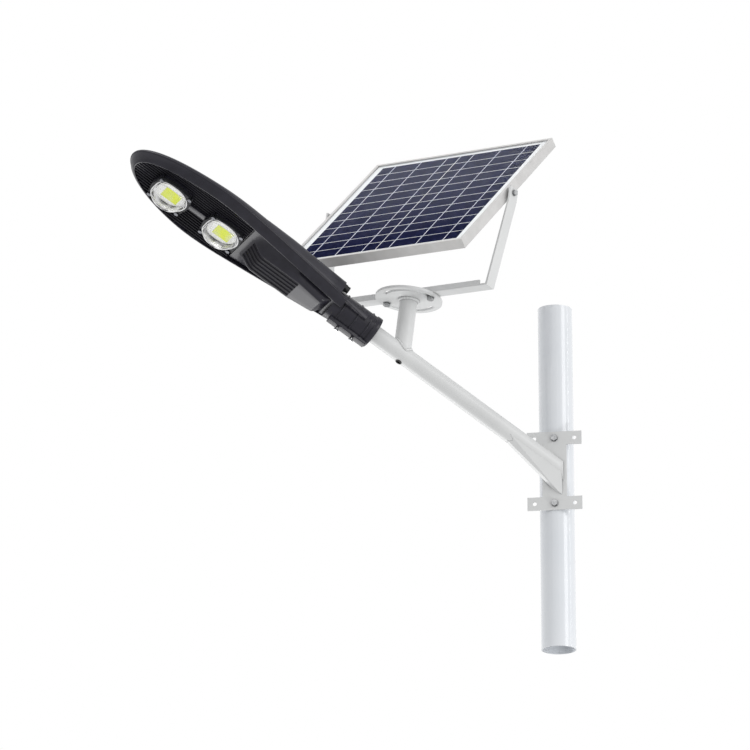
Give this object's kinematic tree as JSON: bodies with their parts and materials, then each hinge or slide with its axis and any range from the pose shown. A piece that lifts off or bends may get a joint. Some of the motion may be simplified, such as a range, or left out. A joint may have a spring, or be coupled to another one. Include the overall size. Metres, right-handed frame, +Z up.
{
  "type": "solar street lamp",
  "caption": "Solar street lamp: pole bracket with a raking arm, a die-cast LED head with domed lenses, and a solar panel in a tilting yoke on a slotted swivel plate.",
  "frame": {"origin": "centre of the pole's lower end", "axes": "+Z up along the pole; the arm runs towards -X; the lamp's front, as pictured, faces -Y"},
  "size_m": [0.7825, 0.4207, 0.8631],
  "materials": {
    "pole_paint": "gloss white powder coat",
    "bracket_paint": "light grey powder coat",
    "fastener_steel": "plain stainless steel",
    "frame_aluminium": "satin anodised extrusion",
    "panel_glass": "clear tempered glass",
    "cell_silicon": "dark blue coated silicon",
    "backsheet_white": "white laminate film",
    "black_plastic": "moulded black plastic",
    "black_rubber": "moulded rubber",
    "head_casting": "black powder coat over die-cast aluminium",
    "lens_glass": "clear moulded glass",
    "lens_frame_grey": "grey painted pressing",
    "board_white": "white solder mask on an aluminium board",
    "chip_phosphor": "yellow phosphor over the chip",
    "cell_wrap": "shrink-wrapped cells",
    "controller_case": "lacquered circuit block"
  },
  "bodies": {
    "mast": {"pole": "pole_paint", "rivet_nuts": "fastener_steel", "mounting_plate": "bracket_paint", "plate_washers": "fastener_steel", "plate_bolts": "fastener_steel", "arm_tube": "bracket_paint", "arm_end_plate": "bracket_paint", "arm_gusset": "bracket_paint", "arm_grommet": "black_rubber", "panel_post": "bracket_paint", "swivel_plate": "bracket_paint"},
    "yoke": {"panel_yoke": "bracket_paint", "swivel_washers": "fastener_steel", "swivel_bolts": "fastener_steel", "swivel_nuts": "fastener_steel"},
    "panel": {"lower_rail": "frame_aluminium", "upper_rail": "frame_aluminium", "left_rail": "frame_aluminium", "right_rail": "frame_aluminium", "panel_glass": "panel_glass", "solar_cells": "cell_silicon", "backsheet": "backsheet_white", "junction_box": "black_plastic", "junction_lid": "black_plastic", "junction_gland": "black_plastic", "pivot_washers": "fastener_steel", "pivot_bolts": "fastener_steel", "pivot_nuts": "fastener_steel"},
    "head": {"head_body": "head_casting", "collar_bolts": "fastener_steel", "top_cover": "head_casting", "cover_screws": "fastener_steel", "cable_gland": "black_plastic", "driver_tray": "head_casting", "tray_screws": "fastener_steel", "battery_pack": "cell_wrap", "charge_controller": "controller_case", "inner_lens": "lens_glass", "tip_lens": "lens_glass", "inner_lens_frame": "lens_frame_grey", "tip_lens_frame": "lens_frame_grey", "inner_lens_gasket": "black_rubber", "tip_lens_gasket": "black_rubber", "inner_led_board": "board_white", "tip_led_board": "board_white", "inner_led_chip": "chip_phosphor", "tip_led_chip": "chip_phosphor", "lens_screws": "fastener_steel"}
  },
  "joints": [
    {"name": "panel_swivel", "type": "hinge", "parent": "mast", "child": "yoke", "pos_m": [-0.27374, -0.02958, 0.55871], "axis": [-0.1288, 0, -0.9917], "range_deg": [-3, 50]},
    {"name": "panel_tilt", "type": "hinge", "parent": "yoke", "child": "panel", "pos_m": [-0.25288, -0.02958, 0.71936], "axis": [0.5545, -0.829, -0.072], "range_deg": [-36, 6]},
    {"name": "head_roll", "type": "hinge", "parent": "mast", "child": "head", "pos_m": [-0.33644, -0.02958, 0.48991], "axis": [-0.8607, 0, 0.509], "range_deg": [-12, 8]}
  ]
}
